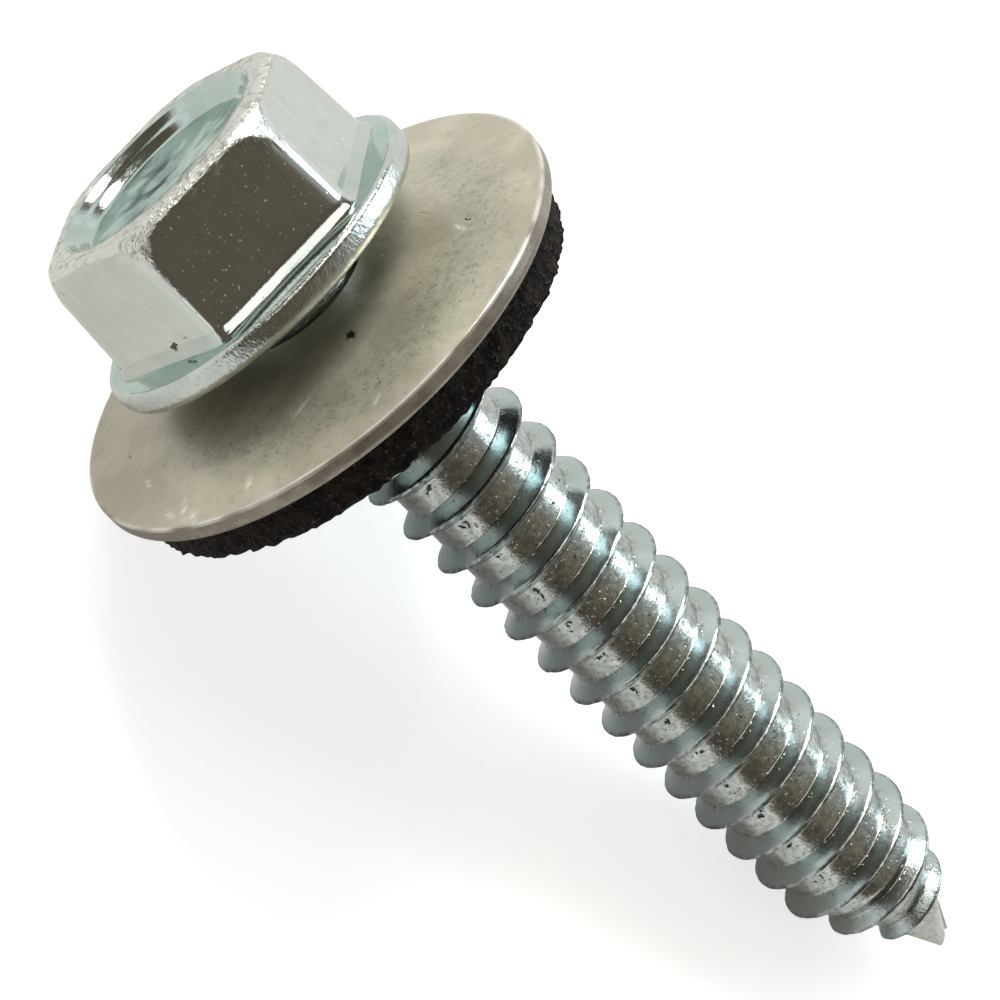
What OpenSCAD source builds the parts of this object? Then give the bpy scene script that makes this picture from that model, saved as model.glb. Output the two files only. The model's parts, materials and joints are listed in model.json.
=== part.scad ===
// Hex washer head self-tapping screw with a loose bonded sealing washer, lying on its side.
// Each piece is drawn about its own axis, +Z towards the point, and then laid down:
// the washer's rim and one thread crest near the point touch the floor at Z = 0.

/* [Head] */
// Width of the hexagon across its flats, just above the foot
hex_af = 10; // [9.4:0.05:10.4]
// Width of the hexagon across its rounded corners, just above the foot
hex_ac = 11.32; // [10.8:0.02:11.6]
// How far each flat draws in from the foot to the top
draft = 0.18; // [0:0.02:0.3]
// Head height from the bearing face to the top rim
head_h = 5.45; // [4.6:0.05:6.5]
// Diameter of the flange
flange_d = 12.9; // [12.4:0.1:15]
// Thickness of the flange at its rim
rim_h = 1.02; // [0.9:0.02:1.4]
// Radius of the rim's lower edge
rim_low = 0.48; // [0.2:0.02:0.5]
// Radius of the rim's upper edge
rim_top = 0.32; // [0.1:0.02:0.38]
// How far the flange rises from its rim to the foot of the hexagon
web_rise = 0.1; // [0.05:0.01:0.3]
// Height of the flared foot of the hexagon above the flange
foot_h = 0.4; // [0.2:0.05:0.6]
// How far the flared foot stands out from the flats
foot_out = 0.22; // [0.1:0.02:0.4]
// Height of the rounded top edges of the flats
edge_h = 0.3; // [0.2:0.02:0.6]
// How far the rounded top edges lean in from the flats
edge_in = 0.42; // [0.2:0.02:0.44]
// Height over which the corners are rounded off at the top
corner_h = 1.15; // [0.8:0.05:1.8]
// How far the rounded corners lean in at the top
corner_in = 0.75; // [0.4:0.05:0.8]
// Radius of the forming dimple at the top rim
dimple_r = 4.05; // [3.2:0.05:4.15]
// Radius of the dimple's floor
floor_r = 3.5; // [2.5:0.05:3.8]
// Depth of the forming dimple
dimple_h = 0.7; // [0.3:0.05:1.2]
// Angle of the hexagon about the screw axis, from straight up
hex_turn = 50.1; // [0:0.1:60]

/* [Shank and thread] */
// Length from the bearing face to the point
shank_l = 37.4; // [28:0.1:50]
// Outside diameter of the thread
thread_d = 6.14; // [6:0.01:6.4]
// Diameter at the root of the thread
root_d = 4.8; // [4.4:0.05:5]
// Distance from one crest to the next
pitch = 1.8; // [1.6:0.05:2]
// Axial place of a crest on the upper side, within one pitch
crest_at = 0.48; // [0:0.01:1.8]
// Half width of the crest
crest_half = 0.05; // [0.03:0.01:0.15]
// Half width of the ridge at the root
ridge_half = 0.44; // [0.35:0.01:0.6]
// Diameter of the plain neck under the head
neck_d = 5.3; // [5.1:0.05:5.5]
// Radius of the small fillet under the head
neck_fillet = 0.15; // [0.05:0.01:0.2]
// Length over which the root tapers to the point
point_l = 5.2; // [4.5:0.1:7]
// Length at the point over which the ridge dies away
fade_l = 4.6; // [3:0.1:5.5]
// How far the rolled point stands off the axis
tip_off = 0.25; // [0:0.01:0.3]
// Direction in which the point stands off the axis, from straight up
tip_turn = -65; // [-180:1:180]
// Radius of the sheared flat at the point
tip_r = 0.28; // [0.2:0.02:0.6]
// How far the sheared flat slopes back over its radius
tip_slope = 0.2; // [0:0.02:0.3]

/* [Sealing washer] */
// Diameter of the steel disc
disc_d = 19; // [17:0.1:22]
// Thickness of the steel disc
disc_t = 0.65; // [0.5:0.05:1]
// How far the disc's rim is dished below its middle
dish_h = 1; // [0.5:0.05:1.4]
// Radius of the flat middle of the disc
flat_r = 3.3; // [3.15:0.05:4]
// Bevel on the edges of the disc's rim
rim_bevel = 0.12; // [0.02:0.01:0.2]
// How far the rubber seal stays inside the disc's rim
seal_in = 0.72; // [0.3:0.02:1.5]
// Thickness of the rubber seal
seal_t = 1.65; // [1.2:0.05:2.5]
// Angle by which the loose washer leans on the neck
lean = 7.1; // [0:0.1:9]
// Clearance between the leaning bore and the neck
bore_clear = 0.04; // [0.02:0.01:0.2]
// Gap between the flange and the nearest part of the leaning disc
seat_gap = 0.65; // [0.1:0.05:1]

/* [Hidden] */
$fn = 96;

// head
flat_x = hex_af / 2;
brow_x = flat_x - draft;
corner_r = hex_ac / 2;
crown_r = corner_r - draft - corner_in;
rim_r = flange_d / 2;
bear_r = rim_r - rim_low;
web_h = rim_h + web_rise;
foot_x = flat_x + foot_out;
foot_r = corner_r + foot_out;

// shank
thread_r = thread_d / 2;
root_r = root_d / 2;
neck_r = neck_d / 2;
hidden_r = neck_r - 0.05;
ridge_h = thread_r - root_r;
point_z = shank_l - point_l;

// washer: w runs along its own axis from the top of its flat middle
disc_r = disc_d / 2;
seal_r = disc_r - seal_in;
dish_m = dish_h / (disc_r - flat_r);
stack_t = disc_t + seal_t;
mid_w = stack_t / 2;
bore_r = (neck_r + mid_w * sin(lean)) / cos(lean) + bore_clear;
lean_z = (bear_r * sin(lean) + mid_w - dish_m * (bear_r * cos(lean) - flat_r) + seat_gap)
    / (cos(lean) + dish_m * sin(lean));

// plain length that the leaning washer needs
neck_l = lean_z + mid_w * cos(lean) + bore_r * sin(lean) + 0.15;

// resting place: the floor runs from the lowest edge of the disc's rim to the crest that it meets first
edge_r = disc_r - rim_bevel;
edge_w = dish_h + disc_t - mid_w;
edge_z = lean_z + edge_w * cos(lean) - edge_r * sin(lean);
edge_x = -edge_w * sin(lean) - edge_r * cos(lean);
crests_n = floor((shank_l - crest_at) / pitch) - 1;
lie = min([for (k = [3 : crests_n]) let (z = crest_at + (k + 0.5) * pitch)
    atan((-edge_x - blank_r(z) - ridge_at(z)) / (z - edge_z))]);
lie_z = edge_z * sin(lie) - edge_x * cos(lie);
lie_x = (head_h * cos(lie) + crown_r * sin(lie) - shank_l * cos(lie)) / 2;

// outline of one pitch: share of the pitch, share of the ridge's height
outline = [
    [0, 0],
    [0.5 - ridge_half / pitch, 0],
    [0.5 - crest_half / pitch, 1],
    [0.5 + crest_half / pitch, 1],
    [0.5 + ridge_half / pitch, 0]
];

// thread grid: steps round one turn, one row for each point of the outline; its first turn is hidden in the neck
steps = 48;
rows = len(outline);
start_z = neck_l - pitch - 0.2;
last_step = floor((shank_l - 0.3 - pitch - start_z) / pitch * steps);
start_turn = 360 * ((start_z - crest_at) / pitch + 0.5);
ridge_lo = 1;
ridge_hi = rows - 1;

// 0 to 1 ramp with soft ends
function soft(a) = let (b = min(1, max(0, a))) b * b * (3 - 2 * b);

// radius of the blank under the ridge: neck, root, then the cone of the point
function blank_r(z) =
    z < point_z
    ? hidden_r + (root_r - hidden_r) * soft((z - neck_l) / 0.7)
    : root_r + (tip_r - root_r) * (z - point_z) / point_l;

// height of the ridge: runs in after the neck and dies away towards the point
function ridge_at(z) =
    ridge_h * soft((z - neck_l) / pitch) * (1 - pow(max(0, 1 - (shank_l - z) / fade_l), 1.5));

// how far the axis of the point has moved sideways
function off_x(z) = tip_off * cos(tip_turn) * soft((z - point_z) / (point_l - pitch - 0.6));
function off_y(z) = tip_off * sin(tip_turn) * soft((z - point_z) / (point_l - pitch - 0.6));

function grid_point(i, j) =
    let (
        turn = i / steps + floor(j / rows),
        z = start_z + pitch * (turn + outline[j % rows][0]),
        a = start_turn + 360 * i / steps,
        r = blank_r(z) + ridge_at(z) * outline[j % rows][1]
    )
    [off_x(z) + r * cos(a), off_y(z) + r * sin(a), z];

function ring_point(i, r, z, slope) =
    let (a = start_turn + 360 * i / steps)
    [off_x(z) + r * cos(a), off_y(z) + r * sin(a), z - slope * (1 + cos(a - tip_turn))];

// number of a grid point; the row after the last is the first row one turn on
function at(i, j) = j == rows ? top(i) : i * rows + j;
function top(i) = i + steps <= last_step ? (i + steps) * rows : top_0 + i + steps - last_step - 1;
top_0 = (last_step + 1) * rows;
ring_0 = top_0 + steps;
ring_1 = ring_0 + steps;
end_0 = last_step - steps;

module threaded_shank() {
    points = concat(
        [for (i = [0 : last_step]) for (j = [0 : rows - 1]) grid_point(i, j)],
        [for (k = [1 : steps]) grid_point(end_0 + k, rows)],
        [for (i = [0 : steps - 1]) ring_point(i, hidden_r, start_z - 0.1, 0)],
        [for (i = [0 : steps - 1]) ring_point(i + last_step, tip_r, shank_l, tip_slope)]
    );
    wall = [
        for (i = [0 : last_step - 1]) for (j = [0 : rows - 1]) for (h = [0, 1])
            h == 0
            ? [at(i, j), at(i, j + 1), at(i + 1, j)]
            : [at(i + 1, j), at(i, j + 1), at(i + 1, j + 1)]
    ];
    inner_end = concat(
        [for (i = [0 : steps - 2]) for (h = [0, 1])
            h == 0
            ? [ring_0 + i, at(i, 0), ring_0 + i + 1]
            : [ring_0 + i + 1, at(i, 0), at(i + 1, 0)]],
        [concat([ring_0 + steps - 1, at(steps - 1, 0)], [for (j = [rows : -1 : 0]) at(0, j)], [ring_0])],
        [[for (i = [0 : steps - 1]) ring_0 + i]]
    );
    outer_end = concat(
        [for (i = [1 : steps - 2]) [top(end_0 + i), ring_1 + i, top(end_0 + i + 1)]],
        [for (i = [0 : steps - 2]) [top(end_0 + i + 1), ring_1 + i, ring_1 + i + 1]],
        [[top(end_0 + steps - 1), ring_1 + steps - 1, ring_1], [top(end_0 + steps - 1), ring_1, top(last_step)]],
        [[for (j = [ridge_lo : ridge_hi]) at(last_step, j)]],
        [concat([for (j = [0 : ridge_lo]) at(last_step, j)], [for (j = [ridge_hi : rows]) at(last_step, j)],
            [ring_1, top(end_0 + 1)])],
        [[for (i = [steps - 1 : -1 : 0]) ring_1 + i]]
    );
    polyhedron(points, concat(wall, inner_end, outer_end), convexity = 20);
}

// six-sided slab between two depths, given by the distance of its flats from the axis
module hexagon(z_1, flat_1, z_2, flat_2) {
    translate([0, 0, z_1])
        rotate([0, 0, hex_turn])
            cylinder(r1 = flat_1 / cos(30), r2 = flat_2 / cos(30), h = z_2 - z_1, $fn = 6);
}

// hexagon with rounded top edges and a flared foot
module hexagon_body() {
    top_z = -head_h;
    foot_z = -web_h - foot_h;
    hexagon(top_z, brow_x - edge_in, top_z + 0.6 * edge_h, brow_x - 0.24 * edge_in);
    hexagon(top_z + 0.6 * edge_h, brow_x - 0.24 * edge_in, top_z + edge_h, brow_x);
    hexagon(top_z + edge_h, brow_x, foot_z, flat_x);
    hexagon(foot_z, flat_x, -web_h, foot_x);
    hexagon(-web_h, foot_x, -rim_low, foot_x);
}

// round envelope that trims the hexagon's corners, most at the top
module corner_envelope() {
    shoulder = [for (k = [0 : 8]) let (a = 90 * k / 8)
        [crown_r + corner_in * sin(a), -head_h + corner_h * (1 - cos(a))]];
    rotate_extrude()
        polygon(concat([[0, -head_h]], shoulder,
            [[corner_r, -web_h - foot_h], [foot_r, -web_h], [foot_r, -rim_low], [0, -rim_low]]));
}

// flat bearing face, rounded rim and an upper side that rises a little towards the hexagon
module flange() {
    lower = [for (a = [90 : -15 : 0]) [bear_r + rim_low * cos(a), -rim_low * (1 - sin(a))]];
    upper = [for (a = [0 : 15 : 90]) [rim_r - rim_top * (1 - cos(a)), -rim_h + rim_top * (1 - sin(a))]];
    rotate_extrude()
        polygon(concat([[0, 0]], lower, upper, [[foot_x, -web_h], [0, -web_h]]));
}

module neck() {
    curve = [for (a = [0 : 15 : 90])
        [neck_r + neck_fillet * (1 - sin(a)), neck_fillet * (1 - cos(a))]];
    rotate_extrude()
        polygon(concat([[0, -0.2], [neck_r + neck_fillet, -0.2]], curve, [[neck_r, neck_l], [0, neck_l]]));
}

module dimple() {
    rotate_extrude()
        polygon([
            [0, -head_h - 1],
            [dimple_r, -head_h - 1],
            [dimple_r, -head_h],
            [floor_r, -head_h + dimple_h],
            [0, -head_h + dimple_h + 0.12]
        ]);
}

module screw() {
    color([0.72, 0.74, 0.73])
        lay_down() {
            difference() {
                union() {
                    intersection() {
                        hexagon_body();
                        corner_envelope();
                    }
                    flange();
                    neck();
                }
                dimple();
            }
            threaded_shank();
        }
}

module steel_disc() {
    color([0.68, 0.67, 0.63])
        lean_over()
            rotate_extrude()
                polygon([
                    [bore_r, 0],
                    [flat_r, 0],
                    [disc_r - rim_bevel, dish_h - dish_m * rim_bevel],
                    [disc_r, dish_h + rim_bevel],
                    [disc_r, dish_h + disc_t - 2 * rim_bevel],
                    [disc_r - rim_bevel, dish_h + disc_t - dish_m * rim_bevel],
                    [flat_r, disc_t],
                    [bore_r, disc_t]
                ]);
}

module rubber_seal() {
    seal_w = dish_m * (seal_r - flat_r);
    color([0.1, 0.08, 0.07])
        lean_over()
            rotate_extrude()
                polygon([
                    [bore_r, disc_t],
                    [flat_r, disc_t],
                    [seal_r, disc_t + seal_w],
                    [seal_r, stack_t + seal_w],
                    [flat_r, stack_t],
                    [bore_r, stack_t]
                ]);
}

// the washer leans on the neck about the middle of its stack
module lean_over() {
    lay_down()
        translate([0, 0, lean_z])
            rotate([0, -lean, 0])
                translate([0, 0, -mid_w])
                    children();
}

// from the screw's own axis to its resting place on the floor
module lay_down() {
    translate([lie_x, 0, lie_z])
        rotate([180, lie - 90, 0])
            children();
}

screw();
steel_disc();
rubber_seal();
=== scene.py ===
"""Hex washer head self-tapping screw: finished meshes, materials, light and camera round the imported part.

Lengths are in millimetres in the screw's own frame: z runs from the flange's bearing face (z = 0) to the point,
the head is at negative z, and angles are in degrees from the upper side of the lying screw.
"""
import json
import math

import bmesh
import bpy
import numpy as np
from mathutils import Matrix, Vector, noise


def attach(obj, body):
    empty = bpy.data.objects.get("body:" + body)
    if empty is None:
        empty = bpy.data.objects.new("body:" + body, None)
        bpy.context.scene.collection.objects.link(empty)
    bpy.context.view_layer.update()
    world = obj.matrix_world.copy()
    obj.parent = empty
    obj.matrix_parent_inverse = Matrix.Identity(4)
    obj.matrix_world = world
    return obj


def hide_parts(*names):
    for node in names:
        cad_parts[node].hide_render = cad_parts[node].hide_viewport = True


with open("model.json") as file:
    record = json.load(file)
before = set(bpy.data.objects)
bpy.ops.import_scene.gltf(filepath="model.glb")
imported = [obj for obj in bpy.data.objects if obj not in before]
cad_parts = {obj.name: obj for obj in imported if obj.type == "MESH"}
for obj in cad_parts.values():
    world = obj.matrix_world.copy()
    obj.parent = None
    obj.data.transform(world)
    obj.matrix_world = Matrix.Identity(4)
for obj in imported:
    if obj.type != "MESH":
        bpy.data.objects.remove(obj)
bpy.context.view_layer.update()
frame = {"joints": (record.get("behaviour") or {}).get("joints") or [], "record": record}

MM = 0.001

# Head, as in the CAD model, with the upper corners a little rounder
HEX_FLAT, HEX_CORNER = 5.0, 5.66
HEX_DRAFT, HEX_TURN = 0.18, 50.1
HEAD_H = 5.45
FLANGE_R = 6.45
RIM_H, RIM_LOW, RIM_TOP = 1.02, 0.48, 0.22
WEB_H, WEB_R = 1.12, FLANGE_R - RIM_TOP
FOOT_H, FOOT_OUT, FOOT_CURVE = 0.4, 0.22, 1.4
EDGE_H, EDGE_IN = 0.3, 0.42
CORNER_H, CORNER_IN, CORNER_BLEND = 1.5, 0.86, 0.14
DIMPLE_R, FLOOR_R, DIMPLE_H, FLOOR_SAG = 4.05, 3.5, 0.7, 0.12

# Shank and thread
SHANK_L = 37.39
THREAD_R, ROOT_R, NECK_R = 3.07, 2.4, 2.65
PITCH, CREST_AT, CREST_HALF, RIDGE_HALF, RIDGE_FILLET = 1.8, 0.48, 0.03, 0.44, 0.05
NECK_L, NECK_FILLET, NECK_TAPER = 3.733, 0.15, 0.7
POINT_L, FADE_L = 5.2, 4.6
TIP_OFF, TIP_TURN, TIP_R, TIP_SLOPE = 0.25, -65.0, 0.28, 0.2

# Washer, in its own frame: w runs along its axis from the top of its flat middle
DISC_R, DISC_T, DISH_H, FLAT_R, BORE_R = 9.47, 0.65, 1.0, 3.3, 2.854
RIM_BEVEL, EDGE_BEVEL = 0.12, 0.05
SEAL_R, SEAL_T = 8.78, 1.65
DISH_SLOPE = DISH_H / (DISC_R - FLAT_R)
STACK_T = DISC_T + SEAL_T

# Grid of the finished meshes; the rows of one pitch are root, flank, crest, flank, root, closer at the corners
HEAD_STEPS = 288
TURN_STEPS = 144
WASHER_STEPS = 288
FOOT_AT, EDGE_AT = 0.5 - RIDGE_HALF / PITCH, 0.5 - CREST_HALF / PITCH
HALF_ROWS = np.concatenate([
    FOOT_AT * np.array([0.0, 0.3, 0.6, 0.85, 0.95, 1.0]),
    FOOT_AT + (EDGE_AT - FOOT_AT) * np.array([0.07, 0.4, 0.8, 1.0]),
])
ROW_SHARES = np.concatenate([HALF_ROWS, [0.5], 1.0 - HALF_ROWS[::-1]])
TURN_ROWS = len(ROW_SHARES) - 1
FOOT_ROW = 5

# Thread grid: it starts a little over one pitch before the neck's end and stops just before the tip
START_Z = NECK_L - PITCH - 0.2
START_TURN = 360.0 * ((START_Z - CREST_AT) / PITCH + 0.5)
LAST_STEP = int((SHANK_L - 0.3 - PITCH - START_Z) / PITCH * TURN_STEPS)
POINT_Z = SHANK_L - POINT_L

# How rough (0 to 1) and how green the plating is in each zone of the head; the flats are worked out point by point
FINISH_OF = {"floor": 0.1, "wall": 0.06, "crown": 1.0, "foot": 0.05, "web": 0.05, "rim": 0.38, "under": 0.6}
GREEN_OF = {"floor": 1.0, "wall": 0.35, "web": 0.9}
NECK_FINISH = 0.5

# Heights of the relief that forging, rolling and cutting left
FLOOR_WAVES, FLOOR_GRAIN, CROWN_GRAIN, SCALE_GRAIN = 0.05, 0.015, 0.03, 0.02
ROOT_GRAIN, CREST_TEAR, CREST_WAVE = 0.006, 0.035, 0.03
SEAL_LUMPS, SEAL_CRUMBS, SEAL_LOSS = 0.08, 0.14, 0.05

# Marks of the one screw in the photo: chips (place, size) and scratches (radius, turn, lean, half length)
NICK_TURN, NICK_SHARE, NICK_DEPTH = 57.0, 0.87, 0.09
HEAD_CHIPS = [(73.0, -1.5, 0.2), (64.0, -1.7, 0.09), (110.0, -1.45, 0.1)]
DISC_CHIPS = [(4.97, 19.1, 0.2), (7.8, 23.9, 0.1), (6.9, -33.0, 0.12), (7.6, 118.0, 0.1)]
DISC_SCARS = [
    (8.9, 84.0, 20.0, 0.35), (8.75, 80.0, 55.0, 0.45), (9.1, 76.0, 40.0, 0.3), (8.4, 61.0, 70.0, 0.25),
    (8.5, 27.0, 80.0, 0.2), (6.4, 45.0, 100.0, 0.4), (7.9, 100.0, 30.0, 0.3), (6.6, -30.0, 10.0, 0.35),
]
CHIP_DEPTH, SCAR_DEPTH, SCAR_HALF = 0.05, 0.02, 0.06


# Small tools

def soft(a):
    """0 to 1 ramp with soft ends."""
    b = np.clip(a, 0.0, 1.0)
    return b * b * (3.0 - 2.0 * b)


def smooth_min(a, b, width):
    """The smaller of two lengths, rounded where they cross."""
    h = np.clip(0.5 + 0.5 * (b - a) / width, 0.0, 1.0)
    return b + (a - b) * h - width * h * (1.0 - h)


def rough(points, size, seed):
    """Noise from -1 to 1 at each point, with grains of the given size."""
    shift = Vector((seed * 17.3, seed * 5.1, seed * 9.7))
    return np.array([noise.noise(Vector(p) / size + shift) for p in points])


def turn_off(turn, middle):
    """Signed turn from a middle direction, -180 to 180."""
    return np.mod(turn - middle + 180.0, 360.0) - 180.0


def polar(r, turn):
    """Flat place at a radius and a turn."""
    return np.array([r * math.cos(math.radians(turn)), r * math.sin(math.radians(turn))])


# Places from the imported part

def place(origin, along):
    """Matrix of a frame with z along a direction that lies in the upright plane of the screw; metres."""
    side = Vector((0.0, -1.0, 0.0))
    up = side.cross(along).normalized()
    return Matrix((
        (up.x, side.x, along.x, origin.x),
        (up.y, side.y, along.y, origin.y),
        (up.z, side.z, along.z, origin.z),
        (0.0, 0.0, 0.0, 1.0),
    ))


mounts = {m["name"]: m for m in frame["record"]["mounts"]}
spin = frame["joints"][0]

screw_axis = Vector(mounts["thread"]["axis"]).normalized()
bearing_at = Vector(mounts["hex_drive"]["pos_m"]) + screw_axis * (HEAD_H * MM)
screw_place = place(bearing_at, screw_axis)

washer_axis = Vector(spin["axis"]).normalized()
washer_place = place(Vector(spin["pos_m"]) - washer_axis * (STACK_T / 2 * MM), washer_axis)


# Meshes

def piece(name, points, faces, where, body, node, masks):
    """A finished mesh in place of a CAD node, with one float attribute per named surface mask."""
    mesh = bpy.data.meshes.new(name)
    mesh.from_pydata([where @ (Vector(p) * MM) for p in points], [], faces)
    mesh.validate()
    for label, values in masks.items():
        layer = mesh.attributes.new(label, "FLOAT", "POINT")
        layer.data.foreach_set("value", np.asarray(values, np.float32))
    bm = bmesh.new()
    bm.from_mesh(mesh)
    bmesh.ops.recalc_face_normals(bm, faces=bm.faces)
    bm.to_mesh(mesh)
    bm.free()
    mesh.shade_smooth()
    obj = bpy.data.objects.new(name, mesh)
    bpy.context.scene.collection.objects.link(obj)
    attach(obj, body)
    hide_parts(node)
    return obj


def grid_faces(first, rows, steps):
    """Quads of a closed grid of rings that are numbered from first."""
    return [
        (first + r * steps + k, first + r * steps + (k + 1) % steps,
         first + (r + 1) * steps + (k + 1) % steps, first + (r + 1) * steps + k)
        for r in range(rows - 1) for k in range(steps)
    ]


class Shell:
    """Points, faces and surface masks of one mesh, gathered block by block."""

    def __init__(self, *names):
        self.blocks, self.faces, self.count = [], [], 0
        self.masks = {name: [] for name in names}

    def add(self, points, **values):
        """Add points with their masks, 0 where none is given, and return the number of the first point."""
        first = self.count
        self.blocks.append(points)
        self.count += len(points)
        for name, column in self.masks.items():
            column.append(np.broadcast_to(values.get(name, 0.0), len(points)).astype(float))
        return first

    def joined(self):
        """All the points, and all the masks by name."""
        return np.concatenate(self.blocks), {name: np.concatenate(column) for name, column in self.masks.items()}


# Head: rings from the middle of the dimple, over the crown and down the hexagon, round the flange to the bearing face

def off_flat(turn):
    """Signed turn from the middle of the nearest flat."""
    return np.mod(turn - HEX_TURN, 60.0) - 30.0


def flare(z):
    """How far the fillet at the foot of the hexagon stands out."""
    return FOOT_OUT * np.clip((z + WEB_H + FOOT_H) / FOOT_H, 0.0, 1.0) ** FOOT_CURVE


def flank_r(turn, z):
    """Radius of the hexagon's side, with its corners rounded off, most at the top."""
    u = z + HEAD_H
    brow = HEX_FLAT - HEX_DRAFT
    lean = np.clip((u - EDGE_H) / (HEAD_H - EDGE_H - WEB_H - FOOT_H), 0.0, 1.0)
    edge = np.interp(u, [0.0, 0.6 * EDGE_H, EDGE_H], [EDGE_IN, 0.24 * EDGE_IN, 0.0])
    flat = brow + HEX_DRAFT * lean - edge + flare(z)
    fall = np.clip(u / CORNER_H, 0.0, 1.0)
    drop = np.clip((u - CORNER_H) / (HEAD_H - CORNER_H - WEB_H - FOOT_H), 0.0, 1.0)
    corner = (HEX_CORNER - HEX_DRAFT * (1.0 - drop)
              - CORNER_IN * (1.0 - np.sqrt(1.0 - (1.0 - fall) ** 2)) + flare(z))
    return smooth_min(flat / np.cos(np.radians(off_flat(turn))), corner, CORNER_BLEND)


def flange_top(r):
    """Height of the flange's upper side, which falls a little from the foot to the rim."""
    return np.interp(r, [HEX_FLAT + FOOT_OUT, WEB_R], [-WEB_H, -RIM_H])


def foot_line(turn):
    """Where the hexagon's foot meets the flange, found by halving."""
    low, high = np.full_like(turn, -WEB_H - FOOT_H), np.full_like(turn, -RIM_H)
    for _ in range(30):
        mid = (low + high) / 2
        above = mid < flange_top(flank_r(turn, mid))
        low, high = np.where(above, mid, low), np.where(above, high, mid)
    return high


def head_rings(turn):
    """Rings (radius, height, zone) from the dimple to the bearing face."""
    rings = []
    full = np.ones_like(turn)
    for r in np.linspace(0.25, FLOOR_R - 0.12, 14):
        rings.append((r * full, (-HEAD_H + DIMPLE_H + FLOOR_SAG * (1 - (r / FLOOR_R) ** 2)) * full, "floor"))
    for t in np.linspace(0.0, 1.0, 12):
        bend = 0.06 * math.sin(math.pi * t) * (1 if t > 0.5 else -1)
        r = FLOOR_R + (DIMPLE_R - FLOOR_R) * t
        rings.append((r * full, (-HEAD_H + DIMPLE_H * (1 - t) + bend * 0.3) * full, "wall"))
    top_r = flank_r(turn, -HEAD_H * full)
    for t in np.linspace(0.15, 0.9, 6):
        rings.append((DIMPLE_R + (top_r - DIMPLE_R) * t, -HEAD_H * full, "crown"))
    for u in np.concatenate([np.linspace(0.0, EDGE_H, 9), np.linspace(EDGE_H, CORNER_H + 0.1, 16)[1:]]):
        z = (-HEAD_H + u) * full
        rings.append((flank_r(turn, z), z, "side"))
    for z in np.linspace(-HEAD_H + CORNER_H + 0.1, -WEB_H - FOOT_H, 16)[1:]:
        rings.append((flank_r(turn, z * full), z * full, "side"))
    meet = foot_line(turn)
    for t in (0.05, 0.12, 0.3, 0.5, 0.7, 0.88, 0.97, 1.0):
        z = (-WEB_H - FOOT_H) + (meet + WEB_H + FOOT_H) * t
        rings.append((flank_r(turn, z), z, "foot"))
    meet_r = flank_r(turn, meet)
    for t in (0.03, 0.1, 0.25, 0.4, 0.55, 0.7, 0.85, 0.94):
        rings.append((meet_r + (WEB_R - meet_r) * t, meet + (-RIM_H - meet) * t, "web"))
    for t in np.radians(np.linspace(0.0, 90.0, 13)):
        rings.append(((WEB_R + RIM_TOP * math.sin(t)) * full, (-RIM_H + RIM_TOP * (1 - math.cos(t))) * full, "rim"))
    bear_r = FLANGE_R - RIM_LOW
    for t in np.radians(np.linspace(0.0, 90.0, 15)):
        rings.append(((bear_r + RIM_LOW * math.cos(t)) * full, -RIM_LOW * (1 - math.sin(t)) * full, "rim"))
    for r in np.linspace(bear_r, NECK_R + NECK_FILLET + 0.5, 7)[1:]:
        rings.append((r * full, 0.0 * full, "under"))
    return rings


def head_ring(r, z, zone, turn):
    """Points of one ring of the head, with the marks of its zone, and their masks."""
    a = np.radians(turn)
    points = np.stack([r * np.cos(a), r * np.sin(a), z], -1)
    chip, face = 0.0, 0.0
    if zone == "side":
        # the forging scale runs down over the rounded corners, with a ragged end
        plane = (HEX_FLAT - HEX_DRAFT) / np.cos(np.radians(off_flat(turn)))
        finish = soft((plane - r) / 0.12 + 0.15 + 0.5 * rough(points, 0.35, 7))
        face = 1.0 - finish
    else:
        finish = FINISH_OF[zone]
    if zone in ("side", "foot"):
        mm_per_degree = 0.09
        for chip_turn, chip_z, size in HEAD_CHIPS:
            round_by = turn_off(turn, chip_turn) * mm_per_degree
            chip = chip + np.exp(-(round_by / size) ** 2 - ((z - chip_z) / (0.6 * size)) ** 2)
    if zone == "floor":
        points[:, 2] += FLOOR_WAVES * rough(points, 0.9, 8) + FLOOR_GRAIN * rough(points, 0.35, 9)
    elif zone == "crown":
        points[:, 2] += CROWN_GRAIN * (rough(points, 0.3, 11) + 1.0)
    elif zone in ("side", "rim"):
        bulge = finish * SCALE_GRAIN * (rough(points, 0.35, 10) - 1.0)
        points[:, :2] *= 1.0 + (bulge / r)[:, None]
    return points, {"finish": finish, "green": GREEN_OF.get(zone, 0.0), "chip": chip, "face": face}


def add_head(shell):
    """The head; returns the first point of its last ring, on the bearing face."""
    turn = START_TURN + 360.0 * np.arange(HEAD_STEPS) / HEAD_STEPS
    rings = head_rings(turn)
    middle = np.array([[0.0, 0.0, -HEAD_H + DIMPLE_H + FLOOR_SAG]])
    centre = shell.add(middle, finish=FINISH_OF["floor"], green=GREEN_OF["floor"])
    first = shell.count
    for r, z, zone in rings:
        points, masks = head_ring(r, z, zone, turn)
        shell.add(points, **masks)
    shell.faces += [(centre, first + k, first + (k + 1) % HEAD_STEPS) for k in range(HEAD_STEPS)]
    shell.faces += grid_faces(first, len(rings), HEAD_STEPS)
    return shell.count - HEAD_STEPS


# Thread: a grid that follows the helix, its first turn plain

def blank_r(z):
    """Radius of the blank under the ridge: neck, root, then the cone of the point."""
    shank = NECK_R + (ROOT_R - NECK_R) * soft((z - NECK_L) / NECK_TAPER)
    return np.where(z < POINT_Z, shank, ROOT_R + (TIP_R - ROOT_R) * (z - POINT_Z) / POINT_L)


def ridge_at(z):
    """Height of the ridge: runs in after the neck and dies away towards the point."""
    fade = np.clip(1.0 - (SHANK_L - z) / FADE_L, 0.0, None) ** 1.5
    return (THREAD_R - ROOT_R) * soft((z - NECK_L) / PITCH) * (1.0 - fade)


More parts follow.
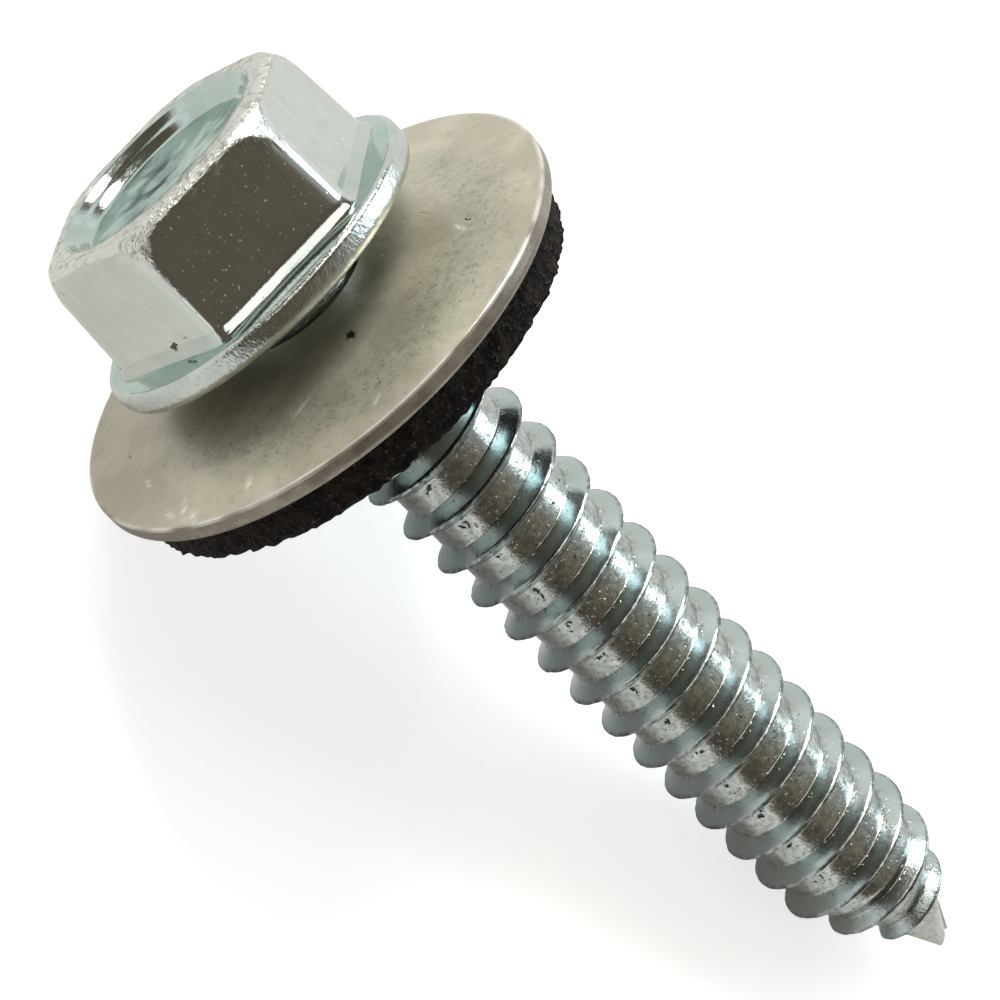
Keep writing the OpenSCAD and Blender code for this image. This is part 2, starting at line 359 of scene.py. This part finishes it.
def ridge_form(share):
    """Share of the ridge height at a fraction of the pitch, crest in the middle, its foot filleted."""
    flank = (RIDGE_HALF - np.abs(share - 0.5) * PITCH) / (RIDGE_HALF - CREST_HALF)
    return np.clip(-smooth_min(-flank, 0.0, RIDGE_FILLET), 0.0, 1.0)


def off_axis(z):
    """How far the axis of the point has moved sideways."""
    reach = TIP_OFF * soft((z - POINT_Z) / (POINT_L - PITCH - 0.6))
    return reach * math.cos(math.radians(TIP_TURN)), reach * math.sin(math.radians(TIP_TURN))


def nick_at(turn, share, z):
    """The small torn nick that the rolling dies left once a turn."""
    off = turn_off(turn, NICK_TURN)
    near = np.exp(-(off / 4.0) ** 2 - (np.mod(share - NICK_SHARE + 0.5, 1.0) - 0.5) ** 2 / 0.05 ** 2)
    return near * soft((z - NECK_L - 2.0) / 2.0) * soft((POINT_Z - z) / 3.0)


def thread_point(i, j):
    """Points of the helix grid, with a pitted root and a slightly torn crest, and the nicks."""
    share = ROW_SHARES[j]
    z = START_Z + PITCH * (i / TURN_STEPS + share)
    turn = START_TURN + 360.0 * i / TURN_STEPS
    a = np.radians(turn)
    form = ridge_form(share)
    run_out = 0.03 + 0.97 * soft((LAST_STEP - i) / (0.2 * TURN_STEPS))
    r = blank_r(z) + ridge_at(z) * form * run_out
    x, y = off_axis(z)
    plain = np.stack([r * np.cos(a), r * np.sin(a), z], -1)
    worked = soft((z - NECK_L) / PITCH)
    root = worked * soft(1.0 - 4.0 * form)
    crest = worked * soft((form - 0.8) / 0.2)
    nick = nick_at(turn, share, z)
    r = (r - root * ROOT_GRAIN * (1.0 + rough(plain, 0.4, 5))
         - crest * CREST_TEAR * np.abs(rough(plain, 0.35, 6)) - NICK_DEPTH * nick)
    z = z + crest * CREST_WAVE * rough(plain, 0.4, 12)
    return np.stack([x + r * np.cos(a), y + r * np.sin(a), z], -1), form, nick


def ring(r, z, slope=0.0, first=0):
    """A ring round the screw's axis, cut off at a slope, its points in step with the helix grid from a step."""
    a = np.radians(START_TURN + 360.0 * (np.arange(TURN_STEPS) + first) / TURN_STEPS)
    x, y = off_axis(np.float64(z))
    tilt = slope * (1.0 + np.cos(a - math.radians(TIP_TURN)))
    return np.stack([x + r * np.cos(a), y + r * np.sin(a), z - tilt], -1)


def add_neck(shell, under):
    """The neck, with a small fillet under the head, joined to the ring under; returns its last ring's first point."""
    first = shell.count
    fillet = [(NECK_R + NECK_FILLET * (1 - math.sin(t)), NECK_FILLET * (1 - math.cos(t)))
              for t in np.linspace(0.0, math.pi / 2, 5)]
    neck = fillet + [(NECK_R, z) for z in np.linspace(NECK_FILLET, START_Z - 0.1, 6)[1:]]
    for r, z in neck:
        shell.add(ring(r, z), finish=NECK_FINISH)
    ratio = HEAD_STEPS // TURN_STEPS
    for k in range(TURN_STEPS):
        far = [under + (k * ratio + m) % HEAD_STEPS for m in range(ratio + 1)]
        shell.faces.append((*far, first + (k + 1) % TURN_STEPS, first + k))
    shell.faces += grid_faces(first, len(neck), TURN_STEPS)
    return shell.count - TURN_STEPS


def add_thread(shell, neck):
    """The thread, from the neck's last ring to the cut-off tip."""
    i, j = np.meshgrid(np.arange(LAST_STEP + 1), np.arange(TURN_ROWS), indexing="ij")
    helix, form, nick = thread_point(i.ravel(), j.ravel())
    root = soft(1.0 - 3.0 * form)
    worn = 0.15 * soft((form - 0.8) / 0.2)
    grid = shell.add(helix, finish=0.06 + 0.08 * root + worn, pits=root, chip=nick,
                     flank=soft((form - 0.02) / 0.2), crest=soft((form - 0.85) / 0.15))
    end = LAST_STEP - TURN_STEPS
    last_turn, _, _ = thread_point(np.arange(end + 1, LAST_STEP + 1), np.full(TURN_STEPS, TURN_ROWS))
    last = shell.add(last_turn, finish=0.15, pits=1.0)
    tip = shell.add(ring(TIP_R, SHANK_L, TIP_SLOPE, LAST_STEP), finish=0.9)

    def top(step):
        """Point at the end of a step's pitch: the start of the next turn, or the loose edge of the last one."""
        if step + TURN_STEPS <= LAST_STEP:
            return grid + (step + TURN_STEPS) * TURN_ROWS
        return last + step + TURN_STEPS - LAST_STEP - 1

    def at(step, row):
        """Point of the helix grid."""
        return top(step) if row == TURN_ROWS else grid + step * TURN_ROWS + row

    faces = shell.faces
    faces += [(at(s, q), at(s, q + 1), at(s + 1, q + 1), at(s + 1, q))
              for s in range(LAST_STEP) for q in range(TURN_ROWS)]

    # to the neck: a band round the first turn, closed over the helix's first edge
    n = TURN_STEPS - 1
    faces += [(neck + s, at(s, 0), at(s + 1, 0), neck + s + 1) for s in range(n)]
    faces.append((neck + n, at(n, 0), *[at(0, q) for q in range(TURN_ROWS, -1, -1)], neck))

    # to the tip: a band from the last turn, the helix's last edge, then the cut
    faces += [(top(end + s), tip + s, top(end + s + 1)) for s in range(1, n)]
    faces += [(top(end + s + 1), tip + s, tip + s + 1) for s in range(n)]
    faces += [(top(end + n), tip + n, tip), (top(end + n), tip, top(LAST_STEP))]
    faces.append(tuple(at(LAST_STEP, q) for q in range(FOOT_ROW, TURN_ROWS - FOOT_ROW + 1)))
    faces.append((*[at(LAST_STEP, q) for q in range(FOOT_ROW + 1)],
                  *[at(LAST_STEP, q) for q in range(TURN_ROWS - FOOT_ROW, TURN_ROWS + 1)], tip, top(end + 1)))
    faces.append(tuple(tip + s for s in range(TURN_STEPS)))


def build_screw():
    """The screw, one closed mesh from the dimple to the tip."""
    shell = Shell("finish", "pits", "green", "chip", "face", "flank", "crest")
    add_thread(shell, add_neck(shell, add_head(shell)))
    points, masks = shell.joined()
    z = points[:, 2]
    masks["tip"] = soft((z - (SHANK_L - 2.2)) / 1.2)
    masks["finish"] = np.maximum(masks["finish"], 0.4 * soft((z - (SHANK_L - 6.0)) / 3.0))
    masks["finish"] = np.maximum(masks["finish"], 0.9 * masks["tip"])
    masks["pits"] *= soft((z - NECK_L) / 1.0)
    return piece("screw_finished", points, shell.faces, screw_place, "screw", "screw", masks)


# Washer: two rings of revolution

def revolve(profile, steps):
    """Points and faces of a closed ring with the given outline."""
    a = np.radians(360.0 * np.arange(steps) / steps)
    points = np.concatenate([np.stack([r * np.cos(a), r * np.sin(a), w + 0.0 * a], -1) for r, w in profile])
    rows = len(profile)
    faces = grid_faces(0, rows, steps)
    faces += [((rows - 1) * steps + k, (rows - 1) * steps + (k + 1) % steps, (k + 1) % steps, k)
              for k in range(steps)]
    return points, faces


def run(start, end, count):
    """Evenly spaced points of a straight stretch, without its end."""
    return [(start[0] + (end[0] - start[0]) * t / count, start[1] + (end[1] - start[1]) * t / count)
            for t in range(count)]


def disc_marks(points):
    """Masks of the chips and scratches, seen from above."""
    chip, scar = np.zeros(len(points)), np.zeros(len(points))
    for r, turn, size in DISC_CHIPS:
        chip += np.exp(-np.sum((points[:, :2] - polar(r, turn)) ** 2, axis=1) / size ** 2)
    for r, turn, lean, half in DISC_SCARS:
        by = points[:, :2] - polar(r, turn)
        line = polar(1.0, lean)
        along, across = by @ line, by @ np.array([-line[1], line[0]])
        scar += np.exp(-(across / SCAR_HALF) ** 2 - (along / half) ** 4)
    return chip, scar


def build_disc():
    """The dished steel disc, with a painted highlight along its upper edge, chips and scratches."""
    quarter = np.linspace(0.0, math.pi / 2, 5)
    lip = DISC_R - EDGE_BEVEL
    bevel = [(lip + EDGE_BEVEL * math.sin(t), DISH_H + EDGE_BEVEL - EDGE_BEVEL * (1 + DISH_SLOPE) * math.cos(t))
             for t in quarter]
    lower = DISH_H + DISC_T
    under = [(DISC_R - RIM_BEVEL + RIM_BEVEL * math.cos(t),
              lower - 2 * RIM_BEVEL + RIM_BEVEL * (2 - DISH_SLOPE) * math.sin(t))
             for t in quarter]
    outline = (
        run((BORE_R, 0.0), (FLAT_R, 0.0), 3)
        + run((FLAT_R, 0.0), bevel[0], 54)
        + bevel
        + run(bevel[-1], under[0], 10)[1:]
        + under
        + run(under[-1], (FLAT_R, DISC_T), 12)[1:]
        + run((FLAT_R, DISC_T), (BORE_R, DISC_T), 3)
        + run((BORE_R, DISC_T), (BORE_R, 0.0), 3)
    )
    points, faces = revolve(outline, WASHER_STEPS)
    r = np.hypot(points[:, 0], points[:, 1])
    edge = soft((r - (lip - 0.05)) / 0.1)
    # painted shade mixed with real grime: a darker veil that lies further out on the side that faces the upper side
    # of the screw, and thinner beside the flange
    reach = 7.8 + 1.8 * points[:, 0] / r
    grime_and_painted_shade = soft((reach - r) / 1.9) * (0.3 + 0.7 * soft((r - 5.5) / 1.6))
    # painted highlight: a bright line, in places, along the rim's upper edge
    painted_edge_highlight = np.exp(-((r - lip - 0.02) / 0.05) ** 2) * (points[:, 2] < DISH_H + 0.1)
    painted_edge_highlight = painted_edge_highlight * soft(0.7 + 1.5 * rough(points, 1.2, 13))
    chip, scar = disc_marks(points)
    top_side = (points[:, 2] < DISH_H * 0.99) * (edge < 0.01)
    points[:, 2] += (CHIP_DEPTH * np.clip(chip, 0.0, 1.0) + SCAR_DEPTH * np.clip(scar, 0.0, 1.0)) * top_side
    # the scar mask carries both the scratches and the painted edge highlight
    masks = {"edge": edge, "grime_and_painted_shade": grime_and_painted_shade, "chip": chip * top_side, "scar": scar * top_side + painted_edge_highlight}
    return piece("steel_disc_finished", points, faces, washer_place, "washer", "steel_disc", masks)


def build_seal():
    """The rubber ring under the disc, with a torn and crumbly cut edge."""
    seal_w = DISH_SLOPE * (SEAL_R - FLAT_R)
    outline = (
        run((BORE_R, DISC_T), (FLAT_R, DISC_T), 2)
        + run((FLAT_R, DISC_T), (SEAL_R, DISC_T + seal_w), 8)
        + run((SEAL_R, DISC_T + seal_w), (SEAL_R, STACK_T + seal_w), 12)
        + run((SEAL_R, STACK_T + seal_w), (FLAT_R, STACK_T), 24)
        + run((FLAT_R, STACK_T), (BORE_R, STACK_T), 3)
        + run((BORE_R, STACK_T), (BORE_R, DISC_T), 6)
    )
    points, faces = revolve(outline, WASHER_STEPS)
    # points near the cut edge move in and out, but not where the seal meets the disc
    r = np.hypot(points[:, 0], points[:, 1])
    cut = soft((r - (SEAL_R - 0.7)) / 0.6) * soft((points[:, 2] - DISC_T - seal_w * (r / SEAL_R) - 0.05) / 0.25)
    ragged = SEAL_LUMPS * rough(points, 0.5, 1) + SEAL_CRUMBS * rough(points, 0.22, 2) - SEAL_LOSS
    points[:, 0] *= 1.0 + cut * ragged / r
    points[:, 1] *= 1.0 + cut * ragged / r
    points[:, 2] += cut * (0.05 * rough(points, 0.6, 3) + 0.04 * rough(points, 0.2, 4))
    return piece("rubber_seal_finished", points, faces, washer_place, "washer", "rubber_seal",
                 {"cut": cut})


# Materials: linear colours, then one function for each

# Among these colours, the dark green one for the dimple floor's blotches is a painted reflection, the brown root
# mottle is partly a painted reflection, and the near-black crest colour is painted shade.
ZINC = {
    "dark": (0.53, 0.575, 0.552, 1), "light": (0.61, 0.65, 0.622, 1),
    "flat": (0.77, 0.82, 0.77, 1), "forged": (0.86, 0.84, 0.78, 1), "flank": (0.43, 0.515, 0.515, 1),
    "dust": (0.33, 0.31, 0.27, 1), "green": (0.32, 0.49, 0.43, 1), "painted_dimple_reflection": (0.05, 0.13, 0.11, 1),
    "mottle_and_painted_reflection": (0.2, 0.185, 0.145, 1), "black": (0.02, 0.02, 0.018, 1), "streak": (0.3, 0.31, 0.28, 1),
    "speck": (0.95, 0.93, 0.86, 1), "crest": (0.1, 0.1, 0.085, 1),
    "chalk": (0.86, 0.84, 0.8, 1), "dull_chalk": (0.68, 0.65, 0.61, 1),
}
# The green-grey smudge colour is partly painted shade; the pale scratch colour also paints a highlight along the
# rim's upper edge.
STEEL = {
    "dark": (0.45, 0.41, 0.325, 1), "light": (0.55, 0.505, 0.41, 1),
    "smudge_and_shade": (0.24, 0.265, 0.205, 1), "blotch": (0.3, 0.285, 0.24, 1), "dirt": (0.13, 0.135, 0.105, 1),
    "black": (0.02, 0.02, 0.017, 1), "brown": (0.15, 0.115, 0.095, 1), "scar": (0.85, 0.82, 0.76, 1),
}
RUBBER = {"dark": (0.003, 0.002, 0.0015, 1), "light": (0.018, 0.011, 0.007, 1), "speck": (0.13, 0.085, 0.055, 1)}


class Nodes:
    """Short calls for building a node tree."""

    def __init__(self, name, world=False):
        self.world = world
        self.block = bpy.data.worlds.new(name) if world else bpy.data.materials.new(name)
        self.block.use_nodes = True
        self.tree = self.block.node_tree
        self.tree.nodes.clear()

    def add(self, kind, inputs=None, **settings):
        """A node with its settings, and its inputs linked or set."""
        node = self.tree.nodes.new(kind)
        for key, value in settings.items():
            setattr(node, key, value)
        for key, value in (inputs or {}).items():
            self.put(node.inputs[key], value)
        return node

    def put(self, socket, value):
        """Link a socket to another, or set its value."""
        if isinstance(value, bpy.types.NodeSocket):
            self.tree.links.new(value, socket)
        else:
            socket.default_value = value

    def mask(self, name):
        """A surface mask of the piece."""
        return self.add("ShaderNodeAttribute", attribute_name=name).outputs["Fac"]

    def math(self, operation, a, b):
        return self.add("ShaderNodeMath", {0: a, 1: b}, operation=operation).outputs[0]

    def plus(self, a, b):
        return self.math("ADD", a, b)

    def minus(self, a, b):
        return self.math("SUBTRACT", a, b)

    def times(self, a, b):
        return self.math("MULTIPLY", a, b)

    def most(self, a, b):
        return self.math("MAXIMUM", a, b)

    def ramp(self, value, low, high, to_low=0.0, to_high=1.0):
        """Soft ramp from one range of values to another."""
        inputs = {"Value": value, "From Min": low, "From Max": high, "To Min": to_low, "To Max": to_high}
        return self.add("ShaderNodeMapRange", inputs, interpolation_type="SMOOTHSTEP").outputs[0]

    def mix(self, share, a, b):
        """Colour a, with a share of colour b."""
        node = self.add("ShaderNodeMix", data_type="RGBA")
        self.put(node.inputs[0], share)
        self.put(node.inputs[6], a)
        self.put(node.inputs[7], b)
        return node.outputs[2]

    def in_mm(self, stretch=(1.0, 1.0, 1.0)):
        """Coordinates of the piece in millimetres."""
        where = self.add("ShaderNodeTexCoord").outputs["Object"]
        scale = tuple(s / MM for s in stretch)
        return self.add("ShaderNodeMapping", {"Vector": where, "Scale": scale}).outputs[0]

    def grain(self, where, size, detail=3.0, roughness=0.55):
        """Noise from 0 to 1 with grains of the given size."""
        inputs = {"Vector": where, "Scale": 1.0 / size, "Detail": detail, "Roughness": roughness}
        return self.add("ShaderNodeTexNoise", inputs).outputs["Fac"]

    def bump(self, height, strength, distance):
        """Normal from a height, its full range a distance in millimetres."""
        inputs = {"Height": height, "Strength": strength, "Distance": distance * MM}
        return self.add("ShaderNodeBump", inputs).outputs[0]

    def finished(self, shader):
        """Put a shader on the surface, and return the material or world."""
        out = self.add("ShaderNodeOutputWorld" if self.world else "ShaderNodeOutputMaterial")
        self.put(out.inputs["Surface"], shader.outputs[0])
        return self.block


def zinc_material():
    """Bright zinc plate of the screw."""
    m = Nodes("zinc_plate")
    where = m.in_mm()
    finish, pits, tip, green = m.mask("finish"), m.mask("pits"), m.mask("tip"), m.mask("green")
    chip, face, flank, crest = m.mask("chip"), m.mask("face"), m.mask("flank"), m.mask("crest")
    fine = m.grain(where, 0.09)
    grains = m.grain(where, 0.26)
    dots = m.grain(where, 0.13, 1.0)
    cloud = m.grain(where, 1.6, 4.0)

    # colour: bluish zinc, paler on the flats and where forged, greener in the hollows, with a painted reflection of
    # dark blotches on the dimple floor
    zinc = m.mix(m.ramp(cloud, 0.35, 0.65), ZINC["dark"], ZINC["light"])
    zinc = m.mix(m.times(face, 0.5), zinc, ZINC["flat"])
    zinc = m.mix(m.ramp(finish, 0.7, 1.0, 0.0, 0.6), zinc, ZINC["forged"])
    zinc = m.mix(m.times(flank, 0.6), zinc, ZINC["flank"])
    zinc = m.mix(m.times(m.ramp(grains, 0.5, 0.64), m.times(finish, 0.6)), zinc, ZINC["dust"])
    zinc = m.mix(m.times(green, m.ramp(cloud, 0.25, 0.7, 0.95, 0.6)), zinc, ZINC["green"])
    # painted reflection: dark green blotches on the dimple floor stand for the dim wall reflected in it
    painted_dimple_reflection = m.times(m.ramp(green, 0.92, 0.98), m.ramp(m.grain(where, 1.5), 0.42, 0.66, 0.0, 0.65))
    zinc = m.mix(painted_dimple_reflection, zinc, ZINC["painted_dimple_reflection"])

    # brown mottle in the root, partly the metal's own blotches and partly a painted reflection of the dim room; black
    # pits in the root, black nicks and chips
    zinc = m.mix(m.times(pits, m.ramp(m.grain(where, 0.25, 4.0), 0.42, 0.6, 0.12, 0.48)), zinc, ZINC["mottle_and_painted_reflection"])
    torn = m.plus(chip, m.ramp(grains, 0.35, 0.65, -0.45, 0.45))
    black = m.most(m.times(m.ramp(grains, 0.68, 0.73), pits), m.ramp(torn, 0.48, 0.62))
    zinc = m.mix(m.times(black, 0.93), zinc, ZINC["black"])

    # drawn streaks and pale specks on the flats, painted shade in patches on the crest, a chalky tip
    streaks = m.grain(m.in_mm((0.5, 7.0, 7.0)), 1.0)
    zinc = m.mix(m.times(m.ramp(streaks, 0.35, 0.65, 0.0, 0.14), face), zinc, ZINC["streak"])
    specks = m.times(m.ramp(dots, 0.69, 0.77, 0.0, 0.4), face)
    zinc = m.mix(specks, zinc, ZINC["speck"])
    # painted shade: dark patches on the crest break up the highlight lines it reflects
    zinc = m.mix(m.times(crest, m.ramp(grains, 0.4, 0.58, 0.2, 0.8)), zinc, ZINC["crest"])
    zinc = m.mix(tip, zinc, m.mix(m.ramp(grains, 0.4, 0.65), ZINC["chalk"], ZINC["dull_chalk"]))

    # roughness and relief: grainy where forged or rolled, scattered dents and fine lines on the flats
    gloss = m.plus(m.times(finish, 0.13), m.ramp(fine, 0.3, 0.75, 0.06, 0.13))
    gloss = m.plus(gloss, m.plus(m.times(tip, 0.4), m.times(pits, 0.03)))
    gloss = m.plus(gloss, m.times(flank, 0.12))
    relief = m.times(m.plus(m.times(fine, 0.45), m.times(grains, 0.75)), finish)
    dents = m.times(m.ramp(dots, 0.63, 0.82), m.plus(m.times(face, 0.12), pits))
    lines = m.times(m.grain(m.in_mm((0.6, 9.0, 2.0)), 1.0, 2.0), 0.015)
    relief = m.plus(m.minus(relief, m.times(dents, 0.3)), lines)
    normal = m.bump(m.minus(relief, black), 0.9, 0.1)
    metal = m.minus(1.0, m.most(tip, specks))
    inputs = {"Base Color": zinc, "Roughness": gloss, "Normal": normal, "Metallic": metal}
    return m.finished(m.add("ShaderNodeBsdfPrincipled", inputs))


def galvanised_material():
    """Worn satin plating of the disc."""
    m = Nodes("galvanised")
    where = m.in_mm()
    edge, grime_and_painted_shade, chip, scar = m.mask("edge"), m.mask("grime_and_painted_shade"), m.mask("chip"), m.mask("scar")
    fine = m.grain(where, 0.1)
    blotch = m.grain(where, 0.38, 5.0, 0.62)
    cloud = m.grain(where, 2.4, 4.0)

    # colour: warm grey, greener with smudges and painted shade inside, black chips, brown rim, bright scratches and a
    # painted highlight on the rim's upper edge
    steel = m.mix(m.ramp(cloud, 0.38, 0.62), STEEL["dark"], STEEL["light"])
    # smudges mixed with painted shade: a darker green-grey veil, stronger on the upper side of the disc
    steel = m.mix(m.times(grime_and_painted_shade, m.ramp(blotch, 0.42, 0.62, 0.28, 0.62)), steel, STEEL["smudge_and_shade"])
    steel = m.mix(m.ramp(blotch, 0.56, 0.7, 0.0, 0.4), steel, STEEL["blotch"])
    dirt = m.times(m.ramp(m.grain(where, 0.14, 2.0), 0.58, 0.7), m.ramp(grime_and_painted_shade, 0.0, 1.0, 0.2, 0.6))
    steel = m.mix(dirt, steel, STEEL["dirt"])
    torn = m.plus(chip, m.ramp(m.grain(where, 0.2, 2.0), 0.35, 0.65, -0.35, 0.35))
    steel = m.mix(m.ramp(torn, 0.45, 0.6), steel, STEEL["black"])
    steel = m.mix(m.times(edge, m.ramp(cloud, 0.38, 0.62, 0.85, 0.5)), steel, STEEL["brown"])
    # bright scratches, and the painted highlight along the rim's upper edge
    steel = m.mix(m.times(scar, 0.8), steel, STEEL["scar"])

    # roughness and relief: orange-peel plating with a few fine scratches
    gloss = m.plus(m.ramp(cloud, 0.2, 0.8, 0.3, 0.4), m.times(edge, -0.08))
    scratch = m.ramp(m.grain(m.in_mm((1.0, 0.9, 0.12)), 0.35, 1.0), 0.72, 0.76)
    relief = m.plus(m.times(fine, 0.5), m.times(blotch, 0.6))
    normal = m.bump(m.minus(relief, scratch), 0.3, 0.05)
    inputs = {"Base Color": steel, "Roughness": gloss, "Normal": normal, "Metallic": 0.55}
    return m.finished(m.add("ShaderNodeBsdfPrincipled", inputs))


def rubber_material():
    """Black rubber of the seal, with brown crumbs on the cut edge."""
    m = Nodes("epdm")
    where = m.in_mm()
    crumbs = m.grain(where, 0.16)
    lumps = m.grain(where, 0.5)
    black = m.mix(m.ramp(lumps, 0.4, 0.62), RUBBER["dark"], RUBBER["light"])
    specks = m.times(m.ramp(crumbs, 0.58, 0.68), m.mask("cut"))
    black = m.mix(m.times(specks, 0.7), black, RUBBER["speck"])
    normal = m.bump(m.plus(crumbs, lumps), 1.0, 0.25)
    gloss = m.ramp(crumbs, 0.3, 0.7, 0.6, 0.85)
    inputs = {"Base Color": black, "Roughness": gloss, "Normal": normal, "Specular IOR Level": 0.2}
    return m.finished(m.add("ShaderNodeBsdfPrincipled", inputs))


# Studio: white floor, a dim room with paler walls, three soft windows; distances in metres

FLOOR_HALF, FLOOR_Z = 3.0, -0.00002
FLOOR_GREY = (0.8, 0.8, 0.8, 1)
FLOOR_LIFT, FLOOR_LIFT_MIRRORED = 0.65, 0.02

SWEEP_TOP, ROOM_BASE = 7, 20
SWEEP, ROOM = (1.0, 1.0, 1.0, 1), (0.125, 0.105, 0.082, 1)
# azimuth, elevation, inner and outer degrees, strength, colour
WALLS = [(15, 30, 5, 48, 0.2, (0.95, 0.85, 0.7, 1)), (65, 32, 8, 48, 0.4, (0.85, 0.93, 1.0, 1))]

WINDOW_FROM = 2.0
# name, azimuth, elevation, width, height, radiance, colour
WINDOWS = [
    ("window_right", 70, 31, 1.2, 1.1, 4.0, (0.76, 0.92, 1.0)),
    ("window_left", 138, 36, 0.7, 0.8, 21.0, (1.0, 0.99, 0.92)),
    ("window_far", 182, 55, 2.0, 0.7, 1.6, (1.0, 0.99, 0.96)),
]

# Camera: eye and aim in millimetres of the row frame, roll about the line of sight in degrees
CAMERA_EYE = (-25.302, -38.431, 98.343)
CAMERA_AIM = (-3.311, 1.023, 5.0)
CAMERA_ROLL = 66.78
CAMERA_LENS = 105.44


def toward(azimuth, elevation):
    """Direction of an azimuth and elevation in degrees."""
    a, e = math.radians(azimuth), math.radians(elevation)
    return Vector((math.cos(a) * math.cos(e), math.sin(a) * math.cos(e), math.sin(e)))


def white_floor():
    """Pale floor that the camera sees as white, with the object's shadow."""
    s = FLOOR_HALF
    corners = [(-s, -s, FLOOR_Z), (s, -s, FLOOR_Z), (s, s, FLOOR_Z), (-s, s, FLOOR_Z)]
    mesh = bpy.data.meshes.new("floor")
    mesh.from_pydata(corners, [], [(0, 1, 2, 3)])
    obj = bpy.data.objects.new("floor", mesh)
    bpy.context.scene.collection.objects.link(obj)
    m = Nodes("floor_white")
    paper = m.add("ShaderNodeBsdfDiffuse", {"Color": FLOOR_GREY})
    path = m.add("ShaderNodeLightPath").outputs
    mirrored = m.times(m.most(path["Is Glossy Ray"], path["Is Transmission Ray"]), FLOOR_LIFT_MIRRORED)
    lift = m.most(m.times(path["Is Camera Ray"], FLOOR_LIFT), mirrored)
    glow = m.add("ShaderNodeEmission", {"Color": (1, 1, 1, 1), "Strength": lift})
    obj.data.materials.append(m.finished(m.add("ShaderNodeAddShader", {0: paper.outputs[0], 1: glow.outputs[0]})))


def surroundings():
    """White sweep up to a little above the horizon, a dim brown room above it, paler walls beside the windows."""
    m = Nodes("studio", world=True)
    ray = m.add("ShaderNodeTexCoord").outputs["Generated"]
    rise = m.add("ShaderNodeSeparateXYZ", {0: ray}).outputs["Z"]
    dim = m.ramp(rise, math.sin(math.radians(SWEEP_TOP)), math.sin(math.radians(ROOM_BASE)))
    sky = m.mix(dim, SWEEP, ROOM)
    for azimuth, elevation, inner, outer, strength, colour in WALLS:
        inputs = {0: ray, 1: toward(azimuth, elevation)}
        dot = m.add("ShaderNodeVectorMath", inputs, operation="DOT_PRODUCT").outputs["Value"]
        near = m.ramp(dot, math.cos(math.radians(outer)), math.cos(math.radians(inner)))
        sky = m.mix(m.times(near, strength), sky, colour)
    bpy.context.scene.world = m.finished(m.add("ShaderNodeBackground", {"Color": sky, "Strength": 1.0}))


def window(name, azimuth, elevation, width, height, radiance, colour):
    """A soft rectangular lamp that faces the middle of the floor."""
    lamp = bpy.data.lights.new(name, "AREA")
    lamp.shape = "RECTANGLE"
    lamp.size, lamp.size_y = width, height
    lamp.energy = radiance * math.pi * width * height
    lamp.color = colour
    obj = bpy.data.objects.new(name, lamp)
    direction = toward(azimuth, elevation)
    obj.location = direction * WINDOW_FROM
    obj.rotation_euler = direction.to_track_quat("Z", "Y").to_euler()
    obj.visible_camera = False
    bpy.context.scene.collection.objects.link(obj)


def camera():
    """Camera at the photo's viewpoint."""
    data = bpy.data.cameras.new("camera")
    data.lens = CAMERA_LENS
    data.sensor_width = 36.0
    data.clip_start = 0.001
    obj = bpy.data.objects.new("camera", data)
    eye, aim = Vector(CAMERA_EYE) * MM, Vector(CAMERA_AIM) * MM
    look = (aim - eye).to_track_quat("-Z", "Y").to_matrix().to_4x4()
    obj.matrix_world = Matrix.Translation(eye) @ look @ Matrix.Rotation(math.radians(CAMERA_ROLL), 4, "Z")
    bpy.context.scene.collection.objects.link(obj)
    bpy.context.scene.camera = obj


camera()
white_floor()
surroundings()
for values in WINDOWS:
    window(*values)
build_screw().data.materials.append(zinc_material())
build_disc().data.materials.append(galvanised_material())
build_seal().data.materials.append(rubber_material())

bpy.context.scene.view_settings.view_transform = "Standard"
